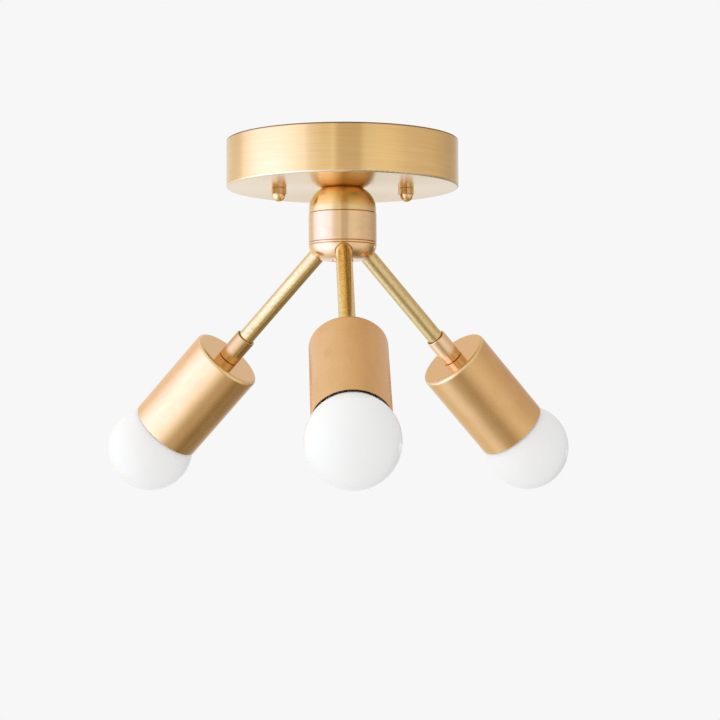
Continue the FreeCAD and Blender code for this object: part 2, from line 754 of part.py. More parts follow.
def make_connectors():
    """Twist-on wire connectors lying under the crossbar, one on each lead, fluted along their taper."""
    mouth = CONNECTOR_MOUTH_D / 2
    tip = CONNECTOR_TIP_D / 2
    bore = WIRE_D / 2 + WIRE_PLAY
    tip_z = CONNECTOR_L - CONNECTOR_TIP_R
    cap = spin(
        (bore, 0),
        (mouth, 0),
        (mouth, CONNECTOR_SKIRT_L),
        (tip, tip_z),
        (tip - CONNECTOR_TIP_R, CONNECTOR_L),
        (0, CONNECTOR_L),
        (0, CONNECTOR_GRIP + WIRE_PLAY),
        (bore, CONNECTOR_GRIP + WIRE_PLAY),
    )
    slope = Vector(tip - mouth, 0, tip_z - CONNECTOR_SKIRT_L)
    flute = Part.makeCylinder(CONNECTOR_FLUTE_R, 2 * slope.Length, Vector(mouth, 0, CONNECTOR_SKIRT_L), slope)
    for i in range(CONNECTOR_FLUTES):
        groove = flute.copy()
        groove.rotate(Vector(0, 0, 0), Vector(0, 0, 1), 360 / CONNECTOR_FLUTES * i)
        cap = cap.cut(groove)
    connectors = []
    for side in (-1, 1):
        moved = cap.copy()
        turn = FreeCAD.Rotation(Vector(0, 1, 0), side * 90)
        moved.Placement = FreeCAD.Placement(Vector(side * connector_start_x, 0, lead_z), turn)
        connectors.append(moved)
    return connectors


def main():
    os.makedirs("parts", exist_ok=True)

    save("crossbar", make_crossbar())
    save("ground_screw", make_ground_screw())
    save("canopy_studs", *make_studs())
    save("stud_lock_nuts", *make_stud_nuts())
    save("canopy", make_canopy())
    save("cap_nuts", *make_cap_nuts())
    save("canopy_washer", tube(WASHER_D, PIPE_D + 2 * THREAD_PLAY, canopy_floor_z, washer_top_z))
    save("canopy_lock_nut", pipe_nut(washer_top_z, canopy_nut_top_z))
    save("hub_nipple", tube(PIPE_D, PIPE_BORE, nipple_bottom_z, nipple_top_z))
    save("nipple_bushing", make_bushing())

    save("hub_cap", make_hub_cap())
    save("hub_lock_nut", pipe_nut(hub_nut_bottom_z, hub_roof_z))
    save("hub_ring", make_hub_ring())
    save("hub_body", make_hub_body())
    save("hub_plug", make_hub_plug())

    save("splice_block", make_splice_block())
    save("supply_leads", *make_supply_leads())
    save("wire_connectors", *make_connectors())

    per_arm = {
        "arm": [tube(PIPE_D, PIPE_BORE, arm_inner_s, arm_outer_s)],
        "coupling": [make_coupling()],
        "socket_cup": [make_cup()],
        "cup_nipple": [tube(PIPE_D, PIPE_BORE, cup_top_s - COUPLING_GRIP, nipple_outer_s)],
        "cup_lock_nut": [pipe_nut(cup_nut_s, cup_nut_s + CUP_NUT_T)],
        "lampholder": [make_holder()],
        "screw_shell": [make_shell()],
        "centre_contact": [make_contact()],
        "arm_wires": make_arm_wires(),
        "bulb_contact": [make_bulb_contact()],
        "bulb_insulator": [make_bulb_insulator()],
        "bulb_base": [make_bulb_base()],
        "bulb_globe": [make_globe()],
        "light_board": [make_board()],
    }
    for index, where in enumerate(arm_names):
        for name, solids in per_arm.items():
            save(f"{name}_{where}", *[on_arm(solid, index) for solid in solids])


main()
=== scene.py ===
"""Brass three-arm ceiling light: finishes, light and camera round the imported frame."""
import json
import math

import bmesh
import bpy
from mathutils import Matrix, Vector


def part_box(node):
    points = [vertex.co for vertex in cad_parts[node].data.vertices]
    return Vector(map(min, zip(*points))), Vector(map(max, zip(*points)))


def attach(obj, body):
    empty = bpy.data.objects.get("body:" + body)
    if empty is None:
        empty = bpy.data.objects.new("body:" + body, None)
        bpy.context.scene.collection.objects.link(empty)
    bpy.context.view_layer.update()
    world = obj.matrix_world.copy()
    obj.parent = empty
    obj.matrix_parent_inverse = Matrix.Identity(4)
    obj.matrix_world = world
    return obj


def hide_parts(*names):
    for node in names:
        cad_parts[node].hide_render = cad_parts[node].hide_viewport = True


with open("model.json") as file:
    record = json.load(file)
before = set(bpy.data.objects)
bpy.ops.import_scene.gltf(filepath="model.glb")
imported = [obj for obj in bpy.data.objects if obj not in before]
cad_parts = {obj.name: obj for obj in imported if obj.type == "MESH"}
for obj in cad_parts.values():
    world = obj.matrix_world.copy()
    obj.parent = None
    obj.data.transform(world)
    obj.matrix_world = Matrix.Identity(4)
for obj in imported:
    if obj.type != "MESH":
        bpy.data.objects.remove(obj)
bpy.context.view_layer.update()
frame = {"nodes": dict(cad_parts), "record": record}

# Camera, in metres and degrees: it stands in front of the light, level with the foot of its bulbs.
CAMERA_DISTANCE = 1.15265
CAMERA_HEIGHT = -0.18683
CAMERA_AZIMUTH = -2.17
CAMERA_YAW = 0.46
CAMERA_PITCH = 3.31
CAMERA_ROLL = 0.2
CAMERA_REACH = 50.0
FOCAL_PIXELS = 2118.4
IMAGE_PIXELS = 720
SENSOR_MM = 36.0

# Surroundings. The backdrop is what the camera sees behind the light.
BACKDROP_WHITE = 0.93
FLOOR_DROP = 2.0
FLOOR_SIZE = 8.0
FLOOR_DARKER = (0.938, 0.938, 0.938)
FLOOR_LIGHTER = (0.944, 0.944, 0.944)
FLOOR_ROUGHNESS = 0.8
# Soft light on pale surfaces: its level, and how much stronger it is from the window's side.
SOFT_LEVEL = 1.0
SOFT_SLOPE = 0.30
SOFT_FROM = (-0.97, 0.24, -0.06)
# The room as metal mirrors it: an even level, changed by soft round patches and by upright panels.
# A patch is its degrees to the right of the camera's side, degrees above level, inner and outer angle,
# and change of colour. A panel is its left, right, lowest and highest degree, the half width of its
# side edges and of its ends, and change of colour.
ROOM_LEVEL = (0.85, 0.852, 0.866)
ROOM_PATCHES = {
    "window_glow": (-75, -16, 20, 62, (0.47, 0.59, 1.61)),
    "lit_floor": (-26, -39, 14, 24, (0.15, 0.24, 0.26)),
    "right_wall": (98, 52, 0, 87, (-0.27, -0.35, -0.43)),
    "right_floor": (124, -42, 24, 60, (-0.60, -0.635, -0.715)),
    "right_front_floor": (91, -32, 6, 35, (0.34, 0.27, 0.25)),
    "front_floor": (12, -59, 0, 52, (-0.39, -0.44, -0.54)),
    "low_wall_behind": (165, -36, 11, 25, (0.12, 0.12, 0.16)),
    "wall_behind": (172, -8, 8, 34, (0.045, 0.09, 0.15)),
    "sky_in_window": (-85, 14, 5, 40, (0.02, 0.06, 0.28)),
    "wall_past_window": (-130, -27, 8, 34, (-0.03, -0.02, -0.25)),
    "left_wall_behind": (-155, 30, 8, 22, (0.07, -0.03, -0.04)),
    "right_wall_behind": (155, 30, 8, 22, (0.10, 0.07, 0.08)),
    "wall_in_front": (42, 12, 4, 26, (0.08, 0.08, 0.05)),
    "ceiling": (0, 84, 10, 45, (0.035, 0.03, 0.0)),
    "ceiling_behind": (180, 52, 8, 32, (0.09, 0.08, 0.0)),
    "right_corner": (150, 10, 0, 45, (-0.17, -0.19, -0.18)),
    "far_lamp": (141, -3, 2, 5, (1.2, 1.2, 1.2)),
}
ROOM_PANELS = {
    "window": (-120, -37, -73, 28, 4, 20, (0.12, 0.18, 0.21)),
    "gap_beside_camera": (-13, -10, -25, 35, 1, 12, (0.12, 0.13, 0.15)),
    "camera_side": (-8, 17, -45, 35, 3, 12, (-0.20, -0.24, -0.30)),
}

# Tones of each finish: the lighter and the darker one.
CANOPY_TONES = ((0.925, 0.628, 0.28), (0.885, 0.582, 0.245))
# Painted light: the canopy's underside gets paler tones than its side.
CANOPY_FACE_TONES = ((0.912, 0.655, 0.33), (0.882, 0.62, 0.30))
HUB_CAP_TONES = ((0.90, 0.665, 0.32), (0.83, 0.59, 0.26))
NUT_TONES = ((0.92, 0.64, 0.30), (0.84, 0.56, 0.23))
ROSE_TONES = ((0.91, 0.62, 0.35), (0.86, 0.57, 0.30))
COUPLING_TONES = ((0.91, 0.66, 0.37), (0.86, 0.61, 0.33))
CUP_TONES = ((0.93, 0.585, 0.275), (0.89, 0.55, 0.25))
# Painted shade: the cup's flat top gets a darker tone than its side.
CUP_TOP_TONE = (0.86, 0.58, 0.265)
ARM_TONES = ((0.96, 0.735, 0.335), (0.87, 0.645, 0.27))
CONTACT_TONES = ((0.85, 0.68, 0.36), (0.75, 0.58, 0.28))
STEEL_TONES = ((0.74, 0.73, 0.70), (0.55, 0.55, 0.52))
BASE_TONES = ((0.86, 0.86, 0.84), (0.74, 0.74, 0.72))
OPAL_TONES = ((0.925, 0.926, 0.928), (0.915, 0.916, 0.918))
BLACK_TONES = ((0.045, 0.045, 0.045), (0.025, 0.025, 0.025))
PALE_TONES = ((0.75, 0.75, 0.73), (0.66, 0.66, 0.64))
# Least and most roughness, then what flat faces multiply it by and what bends add to it.
CUP_ROUGHNESS = (0.26, 0.29)
ARM_ROUGHNESS = (0.13, 0.22)
OPAL_ROUGHNESS = (0.05, 0.09)
LEAD_ROUGHNESS = (0.42, 0.52)
CANOPY_FACE_ROUGHER = 1.2
CUP_TOP_SMOOTHER = 0.5
CANOPY_BEND_ROUGHNESS = 0.25
CUP_RIM_ROUGHNESS = 0.12
# The gloss of the opal bulbs: its strength and its warm tint.
OPAL_GLOSS = 0.3
OPAL_GLOSS_TINT = (1.0, 0.90, 0.55, 1.0)
# Plastics, glaze and paint: their two tones and their middle roughness.
MOULDED = {
    "black_plastic": (BLACK_TONES, 0.3),
    "white_plastic": (((0.82, 0.82, 0.79), (0.74, 0.74, 0.71)), 0.45),
    "wire_insulation": (PALE_TONES, 0.5),
    "holder_glaze": (((0.85, 0.83, 0.79), (0.78, 0.76, 0.72)), 0.2),
    "connector_plastic": (((0.80, 0.27, 0.03), (0.76, 0.25, 0.028)), 0.38),
    "green_paint": (((0.05, 0.30, 0.10), (0.03, 0.22, 0.07)), 0.3),
}
MOULDED_GLOSS_SPREAD = 0.05

# Painted light and shade of single pieces: lighter and darker copies of one finish, as factors on red, green
# and blue.
HUB_BODY_PAINTED_LIGHT = (1.05, 1.05, 1.04)
HUB_RING_PAINTED_LIGHT = (0.98, 0.99, 1.0)
COUPLING_PAINTED_LIGHT = {"front": (1.0, 1.0, 1.0), "right": (1.08, 1.05, 1.12), "left": (0.79, 0.68, 0.53)}
CUP_PAINTED_LIGHT = {"front": (1.0, 0.99, 0.99), "right": (0.89, 0.87, 0.83), "left": (1.06, 1.08, 1.12)}
ARM_PAINTED_LIGHT = {"front": (1.11, 1.14, 1.30), "right": (0.88, 0.87, 0.95), "left": (0.97, 0.93, 0.98)}
BRIGHTEST_TONE = 0.99

# Colours of tarnish, dirt and wear, and of painted shade, shadow and highlight.
CANOPY_STREAK = (0.68, 0.43, 0.18)
CANOPY_CLOUD = (0.74, 0.47, 0.21)
# Painted shade: the canopy is made darker towards its top, next to the ceiling.
CANOPY_TOP_SHADE = (0.70, 0.43, 0.13)
# Painted highlight: the bend from the canopy's side to its underside is made bright.
CANOPY_BEND_HIGHLIGHT = (0.96, 0.80, 0.55)
# Painted shadow: a dark line along the canopy's top rim, where it meets the ceiling.
CANOPY_RIM_SHADOW = (0.22, 0.11, 0.045)
HUB_CAP_SPECK = (0.40, 0.22, 0.07)
NUT_GRIME = (0.42, 0.26, 0.09)
ROSE_SMUDGE = (0.70, 0.45, 0.22)
ROSE_SPECK = (0.62, 0.40, 0.20)
# Painted shade inside and round the hub's arm holes.
MOUTH_PAINTED_SHADE = (0.52, 0.31, 0.13)
SEAM_SHADE = (0.45, 0.27, 0.10)
# Painted shadow in the gap where an arm goes into its coupling; the same colour darkens the joint along the
# coupling's foot.
COUPLING_GAP_DARK = (0.30, 0.19, 0.08)
CUP_SMEAR = (0.74, 0.43, 0.17)
# Wear and a painted highlight: the cup's rim is made bright.
CUP_RIM_WEAR_AND_HIGHLIGHT = (0.97, 0.77, 0.44)
ARM_DULL = (0.60, 0.42, 0.16)
ARM_MOTTLE = (0.50, 0.36, 0.14)
ARM_SPECK = (0.30, 0.19, 0.06)
# How fully a mark covers the metal: a seam's dark line, a coupling's dark foot, and a cup's worn rim with
# its painted highlight.
SEAM_STRENGTH = 0.6
COUPLING_FOOT_STRENGTH = 0.6
CUP_RIM_STRENGTH = 0.8

# Places of the marks, in metres.
MARK_EDGE = 1e-4
SEAM_HALF_WIDTH = 0.00018
BEAD_GROOVE_DROP = 0.00135
ARM_MOUTH_R = 0.0049
COUPLING_MOUTH_R = 0.0052
COUPLING_FOOT = 0.0004
NUT_SPACING = 0.06985
NUT_CREST_R = 0.0042
NUT_GROOVE_R = 0.0039
NUT_DOME_R = 0.00365
CANOPY_TOP_SHADE_HEIGHTS = (-0.018, -0.004)
CANOPY_RIM_HEIGHTS = (-0.0009, -0.0005)
# A surface's lean is its normal's part along an axis: where a bend or a flat face starts and is full.
CANOPY_BEND_LEAN = (-0.05, -0.3)
CANOPY_FACE_LEAN = (-0.8, -1.0)
CUP_BEND_LEAN = (-0.1, -0.4)
CUP_TOP_LEAN = (-0.6, -0.95)

# Noise: the span that most of its values lie in, and the span of the turning lines that sets roughness.
NOISE_SPAN = (0.3, 0.7)
LINE_SPAN = (0.25, 0.75)
# Broad bands between the turning lines: their scales as shares of the lines', and weight beside clouds.
BAND_ROUND = 0.7
BAND_ACROSS = 0.22
BAND_WEIGHT = 0.6
CLOUD_WEIGHT = 0.4

# Threads, in metres: the rolled one on each bulb's base and the cut one on the canopy's studs.
BASE_PITCH = 0.0254 / 7
BASE_THREAD_DEPTH = 0.0008
BASE_SHOULDER = 0.0015
BASE_COLLAR = 0.0045
BASE_SHEET = 0.00035
BASE_ROUND_STEPS = 72
BASE_STEPS_PER_TURN = 14
STUD_PITCH = 0.0254 / 32
STUD_THREAD_DEPTH = 0.0005
STUD_ROUND_STEPS = 20
STUD_STEPS_PER_TURN = 6
SHARP_EDGE = math.radians(50)
# The button on a bulb's end stands clear of the insulator that turns on it.
BUTTON_GAP = 0.00005
BUTTON_ROUND_STEPS = 48
BUTTON_CROWN_STEPS = 6

# Pieces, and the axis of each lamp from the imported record.
STEEL_NODES = ["crossbar", "stud_lock_nuts", "canopy_washer", "canopy_lock_nut",
               "hub_nipple", "hub_lock_nut"]
LAMPS = ["front", "right", "left"]
UP = Vector((0, 0, 1))
CENTRE = Vector((0, 0, 0))
joints = {joint["name"]: joint for joint in frame["record"]["behaviour"]["joints"]}
lamp_axis = {where: Vector(joints[f"bulb_{where}_turn"]["axis"]) for where in LAMPS}
lamp_point = {where: Vector(joints[f"bulb_{where}_turn"]["pos_m"]) for where in LAMPS}


def reach(node, axis, point):
    """Lowest and highest place of a CAD node along an axis, and its largest radius about it."""
    offsets = [vertex.co - point for vertex in frame["nodes"][node].data.vertices]
    places = [offset.dot(axis) for offset in offsets]
    radii = [(offset - axis * place).length for offset, place in zip(offsets, places)]
    return min(places), max(places), max(radii)


# Shader building blocks

def principled(name):
    material = bpy.data.materials.new(name)
    material.use_nodes = True
    return material, material.node_tree, material.node_tree.nodes["Principled BSDF"]


def add(tree, kind, values=None, **settings):
    """A new node; values are sockets to link or constants to set, by input name or number."""
    made = tree.nodes.new("ShaderNode" + kind)
    for key, value in settings.items():
        setattr(made, key, value)
    for key, value in (values or {}).items():
        if isinstance(value, bpy.types.NodeSocket):
            tree.links.new(value, made.inputs[key])
        else:
            made.inputs[key].default_value = value
    return made


def calc(tree, operation, a, b=0.0):
    return add(tree, "Math", {0: a, 1: b}, operation=operation).outputs[0]


def vector_calc(tree, operation, a, b=(0.0, 0.0, 0.0)):
    made = add(tree, "VectorMath", {0: a, 1: b}, operation=operation)
    return made.outputs["Value" if operation in ("DOT_PRODUCT", "LENGTH") else "Vector"]


def split(tree, vector):
    """The x, y and z sockets of a vector."""
    return add(tree, "SeparateXYZ", {0: vector}).outputs


def remap(tree, value, low, high, to_low=0.0, to_high=1.0):
    values = {"Value": value, "From Min": low, "From Max": high, "To Min": to_low, "To Max": to_high}
    return add(tree, "MapRange", values).outputs[0]


def blend_colour(tree, factor, first, second):
    made = add(tree, "Mix", {0: factor}, data_type="RGBA")
    for index, value in ((6, first), (7, second)):
        if isinstance(value, bpy.types.NodeSocket):
            tree.links.new(value, made.inputs[index])
        else:
            made.inputs[index].default_value = (*value, 1.0)
    return made.outputs[2]


def stained(tree, colour, mark, value, low, high, most=1.0):
    """A colour that goes over to a mark's colour as the value goes from low to high, by the most given."""
    return blend_colour(tree, remap(tree, value, low, high, 0.0, most), colour, mark)


def noise(tree, vector, scale, detail=2.0, roughness=0.5):
    values = {"Vector": vector, "Scale": scale, "Detail": detail, "Roughness": roughness}
    return add(tree, "TexNoise", values).outputs[0]


def stretched(tree, value, low=0.0, high=1.0):
    """Noise, stretched over a whole range."""
    return remap(tree, value, *NOISE_SPAN, low, high)


def object_place(tree):
    return add(tree, "TexCoord").outputs["Object"]


def surface_normal(tree):
    return add(tree, "NewGeometry").outputs["Normal"]


def round_axis(tree, axis, point):
    """Sockets about an axis: distance along it, radius, and the unit direction away from it."""
    side = axis.orthogonal().normalized()
    other = axis.cross(side)
    offset = vector_calc(tree, "SUBTRACT", object_place(tree), tuple(point))
    along = vector_calc(tree, "DOT_PRODUCT", offset, tuple(axis))
    x = vector_calc(tree, "DOT_PRODUCT", offset, tuple(side))
    y = vector_calc(tree, "DOT_PRODUCT", offset, tuple(other))
    flat = add(tree, "CombineXYZ", {0: x, 1: y}).outputs[0]
    radius = vector_calc(tree, "LENGTH", flat)
    return along, radius, vector_calc(tree, "NORMALIZE", flat)


def scaled_parts(tree, direction, round_scale, distance, line_scale):
    """Noise coordinates with one scale round the axis and another across it."""
    parts = split(tree, direction)
    values = {
        0: calc(tree, "MULTIPLY", parts[0], round_scale),
        1: calc(tree, "MULTIPLY", parts[1], round_scale),
        2: calc(tree, "MULTIPLY", distance, line_scale),
    }
    return add(tree, "CombineXYZ", values).outputs[0]


def turning_lines(tree, axis, point, round_scale, line_scale):
    """Fine rings left by turning or brushing round the axis, on sides and on flat ends."""
    along, radius, direction = round_axis(tree, axis, point)
    across = calc(tree, "ADD", along, radius)
    return noise(tree, scaled_parts(tree, direction, round_scale, across, line_scale), scale=1.0, detail=3.0)


def grain_across(tree, axis, point):
    """Tangent square to rings round the axis, so that gloss spreads across them."""
    geometry = add(tree, "NewGeometry")
    offset = vector_calc(tree, "SUBTRACT", geometry.outputs["Position"], tuple(point))
    ring = vector_calc(tree, "CROSS_PRODUCT", tuple(axis), offset)
    across = vector_calc(tree, "CROSS_PRODUCT", geometry.outputs["Normal"], ring)
    return vector_calc(tree, "NORMALIZE", across)


def face_and_bend(tree, lean, face_lean, bend_lean):
    """Shares of a flat face, and of the bend that leads to it, where a surface leans so far."""
    face = remap(tree, lean, *face_lean)
    bend = calc(tree, "MULTIPLY", remap(tree, lean, *bend_lean), calc(tree, "SUBTRACT", 1.0, face))
    return face, bend


def surface(tree, shader, colour, roughness):
    tree.links.new(colour, shader.inputs["Base Color"])
    tree.links.new(roughness, shader.inputs["Roughness"])


def bump(tree, shader, height, distance):
    made = add(tree, "Bump", {"Height": height, "Distance": distance, "Strength": 1.0})
    tree.links.new(made.outputs[0], shader.inputs["Normal"])


def turned_metal(name, axis, point, tones, gloss, spread, lines, touch=None):
    """Metal with rings round an axis. tones are its lighter and darker colour, gloss its least and most
    roughness, spread its anisotropy, and lines the scale across the rings, the scale round them and their
    depth in metres. touch adds marks."""
    material, tree, shader = principled(name)
    light, dark = tones
    line_scale, round_scale, depth = lines
    fine = turning_lines(tree, axis, point, round_scale, line_scale)
    broad = turning_lines(tree, axis, point, round_scale * BAND_ROUND, line_scale * BAND_ACROSS)
    cloud = noise(tree, object_place(tree), scale=45.0, detail=4.0)
    bands = calc(tree, "MULTIPLY", broad, BAND_WEIGHT)
    mixed = calc(tree, "ADD", bands, calc(tree, "MULTIPLY", cloud, CLOUD_WEIGHT))
    colour = blend_colour(tree, stretched(tree, mixed), dark, light)
    roughness = remap(tree, fine, *LINE_SPAN, *gloss)
    if touch:
        colour, roughness = touch(tree, colour, roughness)
    surface(tree, shader, colour, roughness)
    tree.links.new(grain_across(tree, axis, point), shader.inputs["Tangent"])
    shader.inputs["Metallic"].default_value = 1.0
    shader.inputs["Anisotropic"].default_value = spread
    bump(tree, shader, fine, depth)
    return material


# Finishes

# Painted light: a tone times a piece's factors, no brighter than the brightest tone.
def shaded(colour, factors):
    return tuple(min(BRIGHTEST_TONE, part * factor) for part, factor in zip(colour, factors))


def seam_lines(tree, colour, levels):
    """Dark lines round the hub at the given heights."""
    height = split(tree, object_place(tree))[2]
    for level in levels:
        off = calc(tree, "ABSOLUTE", calc(tree, "SUBTRACT", height, level))
        colour = stained(tree, colour, SEAM_SHADE, off, 1.5 * SEAM_HALF_WIDTH, 0.5 * SEAM_HALF_WIDTH,
                         most=SEAM_STRENGTH)
    return colour


def specks(tree, colour, mark, scale, low, high):
    """Small dark spots where fine noise is high."""
    spot = noise(tree, object_place(tree), scale, detail=3.0, roughness=0.6)
    return stained(tree, colour, mark, spot, low, high)


def canopy_brass():
    """Brushed pan: faint brown streaks along the brushing, dull clouds, painted shade towards the top and a
    painted shadow along the rim. Its underside is painted paler, and the bend beside that has a painted
    highlight."""
    def patina_and_painted_light(tree, colour, roughness):
        streak = turning_lines(tree, UP, CENTRE, round_scale=2.5, line_scale=1100.0)
        streaked = stained(tree, colour, CANOPY_STREAK, streak, low=0.40, high=0.70, most=0.22)
        cloud = noise(tree, object_place(tree), scale=32.0, detail=3.0)
        clouded = stained(tree, streaked, CANOPY_CLOUD, cloud, low=0.48, high=0.72, most=0.25)
        height = split(tree, object_place(tree))[2]
        # Painted shade, darker towards the top.
        top_shaded = stained(tree, clouded, CANOPY_TOP_SHADE, height, *CANOPY_TOP_SHADE_HEIGHTS, most=0.2)
        down = split(tree, surface_normal(tree))[2]
        face, bend = face_and_bend(tree, down, CANOPY_FACE_LEAN, CANOPY_BEND_LEAN)
        # Painted light: the underside is made paler.
        paler = blend_colour(tree, face, top_shaded, blend_colour(tree, cloud, *CANOPY_FACE_TONES))
        # Painted highlight on the bend.
        bend_highlighted = blend_colour(tree, bend, paler, CANOPY_BEND_HIGHLIGHT)
        duller = calc(tree, "MULTIPLY", roughness, remap(tree, face, 0.0, 1.0, 1.0, CANOPY_FACE_ROUGHER))
        duller = calc(tree, "ADD", duller, calc(tree, "MULTIPLY", bend, CANOPY_BEND_ROUGHNESS))
        # Painted shadow along the top rim.
        return stained(tree, bend_highlighted, CANOPY_RIM_SHADOW, height, *CANOPY_RIM_HEIGHTS), duller

    return turned_metal("canopy_brass", UP, CENTRE, CANOPY_TONES, gloss=(0.14, 0.20), spread=0.6,
                        lines=(3500.0, 3.0, 3e-6), touch=patina_and_painted_light)


def hub_cap_brass(seam):
    """Hub cap: turned brass with dark specks, and dark in the seam under it."""
    def wear(tree, colour, roughness):
        spotted = specks(tree, colour, HUB_CAP_SPECK, scale=1300.0, low=0.66, high=0.74)
        return seam_lines(tree, spotted, [seam]), roughness

    return turned_metal("hub_cap_brass", UP, CENTRE, HUB_CAP_TONES, gloss=(0.20, 0.26), spread=0.9,
                        lines=(4500.0, 2.0, 3e-6), touch=wear)


def nut_brass():
    """Cap nuts: bright domes, and knurled collars that are dark in their grooves."""
    def knurl(tree, colour, roughness):
        place = split(tree, object_place(tree))
        x = calc(tree, "SUBTRACT", calc(tree, "ABSOLUTE", place[0]), NUT_SPACING / 2)
        flat = add(tree, "CombineXYZ", {0: x, 1: place[1]}).outputs[0]
        radius = vector_calc(tree, "LENGTH", flat)
        groove = remap(tree, radius, NUT_CREST_R, NUT_GROOVE_R)
        collar = remap(tree, radius, NUT_DOME_R, NUT_GROOVE_R)
        return blend_colour(tree, calc(tree, "MULTIPLY", groove, collar), colour, NUT_GRIME), roughness

    return turned_metal("nut_brass", UP, CENTRE, NUT_TONES, gloss=(0.10, 0.18), spread=0.0,
                        lines=(4500.0, 2.0, 2e-6), touch=knurl)


def rose_brass(name, shade, seams, mouths):
    """Hub ring and body: rosy turned brass, dark in its seams, with painted shade round the arm holes."""
    def wear(tree, colour, roughness):
        smudge = noise(tree, object_place(tree), scale=260.0, detail=4.0, roughness=0.65)
        colour = stained(tree, colour, ROSE_SMUDGE, smudge, low=0.50, high=0.75, most=0.35)
        colour = specks(tree, colour, ROSE_SPECK, scale=1100.0, low=0.68, high=0.78)
        colour = seam_lines(tree, colour, seams)
        for where in mouths:
            radius = round_axis(tree, lamp_axis[where], lamp_point[where])[1]
            # Painted shade in and round each arm hole.
            colour = stained(tree, colour, MOUTH_PAINTED_SHADE, radius,
                             ARM_MOUTH_R + MARK_EDGE, ARM_MOUTH_R - MARK_EDGE)
        return colour, roughness

    # Painted light: the hub's body and ring are lighter or darker copies of one rosy finish.
    tones = [shaded(tone, shade) for tone in ROSE_TONES]
    return turned_metal(name, UP, CENTRE, tones, gloss=(0.17, 0.24), spread=0.4,
                        lines=(5200.0, 2.0, 3e-6), touch=wear)


def coupling_brass(where):
    """Turned brass with a painted shadow where the arm goes in, and dark along the foot that stands on the
    cup.
    """
    axis = lamp_axis[where]
    point = lamp_point[where]
    foot_start = reach(f"coupling_{where}", axis, point)[1] - COUPLING_FOOT

    def gap_dark(tree, colour, roughness):
        along, radius, _ = round_axis(tree, axis, point)
        # Painted shadow in the arm's gap, and a dark joint at the foot.
        mouth = remap(tree, radius, COUPLING_MOUTH_R + MARK_EDGE, COUPLING_MOUTH_R - MARK_EDGE)
        foot = remap(tree, along, foot_start - MARK_EDGE, foot_start + MARK_EDGE,
                     to_high=COUPLING_FOOT_STRENGTH)
        return blend_colour(tree, calc(tree, "MAXIMUM", mouth, foot), colour, COUPLING_GAP_DARK), roughness

    # Painted light: each lamp's coupling is a lighter or darker copy of one finish.
    tones = [shaded(tone, COUPLING_PAINTED_LIGHT[where]) for tone in COUPLING_TONES]
    return turned_metal(f"coupling_brass_{where}", axis, point, tones, gloss=(0.15, 0.22), spread=0.3,
                        lines=(5200.0, 2.0, 3e-6), touch=gap_dark)


def contact_brass(where):
    """Plain brass of a lampholder's screw shell and contact, and of the bulb's end button."""
    return turned_metal(f"contact_brass_{where}", lamp_axis[where], lamp_point[where], CONTACT_TONES,
                        gloss=(0.25, 0.35), spread=0.0, lines=(2500.0, 2.0, 3e-6))


def satin_brass(where):
    """Cup: soft clouded satin with brown smears round it, a rim worn bright with a painted highlight, and a
    smoother flat top with painted shade.
    """
    material, tree, shader = principled(f"satin_brass_{where}")
    axis = lamp_axis[where]
    # Painted light: each lamp's cup is a lighter or darker copy of one finish.
    shade = CUP_PAINTED_LIGHT[where]
    light, dark = [shaded(tone, shade) for tone in CUP_TONES]
    place = object_place(tree)
    cloud = noise(tree, place, scale=75.0, detail=3.0, roughness=0.55)
    grain = noise(tree, place, scale=1400.0)
    clouded = blend_colour(tree, stretched(tree, cloud), dark, light)
    along, _, direction = round_axis(tree, axis, lamp_point[where])
    smear_place = scaled_parts(tree, direction, round_scale=3.0, distance=along, line_scale=60.0)
    smear = noise(tree, smear_place, scale=1.0, detail=5.0, roughness=0.62)
    side = stained(tree, clouded, shaded(CUP_SMEAR, shade), smear, low=0.50, high=0.74, most=0.35)
    lean = vector_calc(tree, "DOT_PRODUCT", surface_normal(tree), tuple(axis))
    top, bend = face_and_bend(tree, lean, CUP_TOP_LEAN, CUP_BEND_LEAN)
    # Rim worn bright, with a painted highlight.
    rim = blend_colour(tree, calc(tree, "MULTIPLY", bend, CUP_RIM_STRENGTH), side, CUP_RIM_WEAR_AND_HIGHLIGHT)
    # Painted shade on the flat top.
    colour = blend_colour(tree, top, rim, shaded(CUP_TOP_TONE, shade))
    satin = stretched(tree, grain, *CUP_ROUGHNESS)
    gloss = calc(tree, "MULTIPLY", satin, remap(tree, top, 0.0, 1.0, 1.0, CUP_TOP_SMOOTHER))
    gloss = calc(tree, "ADD", gloss, calc(tree, "MULTIPLY", bend, CUP_RIM_ROUGHNESS))
    surface(tree, shader, colour, gloss)
    shader.inputs["Metallic"].default_value = 1.0
    bump(tree, shader, grain, distance=4e-7)
    return material


def aged_brass(where):
    """Drawn tube: marks along its length, dull patches, brown mottling and small dark spots."""
    material, tree, shader = principled(f"aged_brass_{where}")
    # Painted light: each lamp's arm is a lighter or darker copy of one finish.
    light, dark = [shaded(tone, ARM_PAINTED_LIGHT[where]) for tone in ARM_TONES]
    along, _, direction = round_axis(tree, lamp_axis[where], lamp_point[where])
    drawn_place = scaled_parts(tree, direction, round_scale=9.0, distance=along, line_scale=40.0)
    drawn = noise(tree, drawn_place, scale=1.0, detail=3.0)
    patch = noise(tree, object_place(tree), scale=160.0, detail=4.0, roughness=0.6)
    tone = blend_colour(tree, stretched(tree, drawn), dark, light)
    dull = stained(tree, tone, ARM_DULL, patch, low=0.50, high=0.80, most=0.3)
    mottle = noise(tree, object_place(tree), scale=620.0, detail=4.0, roughness=0.7)
    mottled = stained(tree, dull, ARM_MOTTLE, mottle, low=0.47, high=0.66, most=0.5)
    spotted = specks(tree, mottled, ARM_SPECK, scale=1000.0, low=0.64, high=0.72)
    surface(tree, shader, spotted, stretched(tree, patch, *ARM_ROUGHNESS))
    shader.inputs["Metallic"].default_value = 1.0
    bump(tree, shader, drawn, distance=4e-6)
    return material


